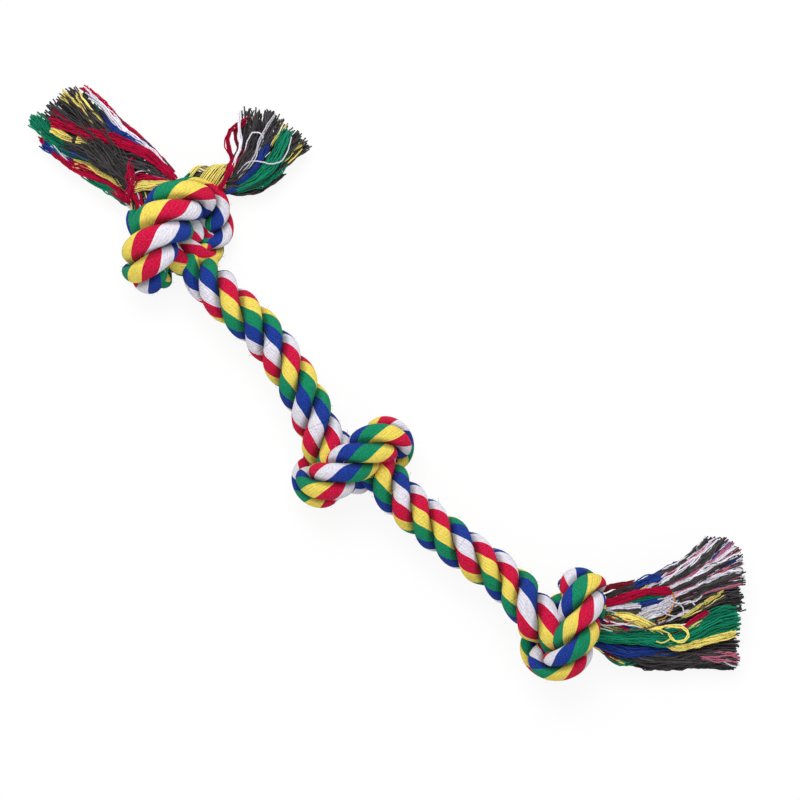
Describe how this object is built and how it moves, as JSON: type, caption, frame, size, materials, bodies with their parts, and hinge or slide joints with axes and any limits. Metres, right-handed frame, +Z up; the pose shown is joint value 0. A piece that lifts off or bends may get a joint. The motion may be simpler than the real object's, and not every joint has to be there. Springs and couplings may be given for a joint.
{
  "type": "rope dog toy",
  "caption": "Thick laid cotton rope chew toy, tied in overhand knots along its length, with frayed yarn tassels at both ends.",
  "frame": {"origin": "on the floor, below the middle of the toy's box", "axes": "+X along the toy towards the end with one full tassel, +Z up from the floor it lies on"},
  "size_m": [0.4626, 0.1562, 0.0485],
  "materials": {
    "red_cotton": "matte soft-spun cotton",
    "yellow_cotton": "matte soft-spun cotton",
    "green_cotton": "matte soft-spun cotton",
    "blue_cotton": "matte soft-spun cotton",
    "white_cotton": "matte soft-spun cotton",
    "dark_cotton": "matte soft-spun cotton"
  },
  "bodies": {
    "middle_knot": {"middle_knot_strand_a": "red_cotton", "middle_knot_strand_b": "white_cotton", "middle_knot_strand_c": "blue_cotton"},
    "left_span": {"left_span_strand_a": "red_cotton", "left_span_strand_b": "white_cotton", "left_span_strand_c": "blue_cotton"},
    "left_knot": {"left_knot_strand_a": "red_cotton", "left_knot_strand_b": "white_cotton", "left_knot_strand_c": "blue_cotton"},
    "left_long_tassel": {"left_long_tassel_red_1": "red_cotton", "left_long_tassel_dark_1": "dark_cotton", "left_long_tassel_dark_2": "dark_cotton", "left_long_tassel_white_1": "white_cotton", "left_long_tassel_green_1": "green_cotton", "left_long_tassel_yellow_1": "yellow_cotton", "left_long_tassel_red_2": "red_cotton", "left_long_tassel_blue_1": "blue_cotton", "left_long_tassel_blue_2": "blue_cotton", "left_long_tassel_green_2": "green_cotton", "left_long_tassel_yellow_2": "yellow_cotton", "left_long_tassel_white_2": "white_cotton"},
    "left_short_tassel": {"left_short_tassel_yellow_1": "yellow_cotton", "left_short_tassel_dark_1": "dark_cotton", "left_short_tassel_green_1": "green_cotton", "left_short_tassel_red_1": "red_cotton", "left_short_tassel_white_1": "white_cotton", "left_short_tassel_blue_1": "blue_cotton"},
    "right_span": {"right_span_strand_a": "red_cotton", "right_span_strand_b": "white_cotton", "right_span_strand_c": "blue_cotton"},
    "right_knot": {"right_knot_strand_a": "red_cotton", "right_knot_strand_b": "white_cotton", "right_knot_strand_c": "blue_cotton"},
    "right_tassel": {"right_tassel_dark_1": "dark_cotton", "right_tassel_yellow_1": "yellow_cotton", "right_tassel_green_1": "green_cotton", "right_tassel_white_1": "white_cotton", "right_tassel_red_1": "red_cotton", "right_tassel_white_2": "white_cotton", "right_tassel_green_2": "green_cotton", "right_tassel_blue_1": "blue_cotton", "right_tassel_yellow_2": "yellow_cotton", "right_tassel_dark_2": "dark_cotton", "right_tassel_blue_2": "blue_cotton", "right_tassel_dark_3": "dark_cotton", "right_tassel_blue_3": "blue_cotton", "right_tassel_red_2": "red_cotton", "right_tassel_green_3": "green_cotton", "right_tassel_yellow_3": "yellow_cotton", "right_tassel_white_3": "white_cotton", "right_tassel_red_3": "red_cotton"}
  },
  "joints": [
    {"name": "left_span_sway", "type": "hinge", "parent": "middle_knot", "child": "left_span", "pos_m": [-0.03236, -0.03096, 0.02405], "axis": [0, 0, 1], "range_deg": [-35, 35]},
    {"name": "left_end_lift", "type": "hinge", "parent": "left_span", "child": "left_knot", "pos_m": [-0.09362, -0.01378, 0.02557], "axis": [0.3028, 0.9531, 0], "range_deg": [0, 40]},
    {"name": "left_long_tassel_swing", "type": "hinge", "parent": "left_knot", "child": "left_long_tassel", "pos_m": [-0.15961, 0.00297, 0.01666], "axis": [0, 0, 1], "range_deg": [-20, 20]},
    {"name": "left_short_tassel_swing", "type": "hinge", "parent": "left_knot", "child": "left_short_tassel", "pos_m": [-0.13484, 0.03527, 0.0088], "axis": [0, 0, 1], "range_deg": [-20, 20]},
    {"name": "right_span_sway", "type": "hinge", "parent": "middle_knot", "child": "right_span", "pos_m": [0.0467, -0.04606, 0.02401], "axis": [0, 0, 1], "range_deg": [-35, 35]},
    {"name": "right_end_lift", "type": "hinge", "parent": "right_span", "child": "right_knot", "pos_m": [0.10047, -0.04413, 0.02356], "axis": [-0.1087, -0.9941, 0], "range_deg": [0, 40]},
    {"name": "right_tassel_swing", "type": "hinge", "parent": "right_knot", "child": "right_tassel", "pos_m": [0.16097, -0.03024, 0.02029], "axis": [0, 0, 1], "range_deg": [-20, 20]}
  ]
}
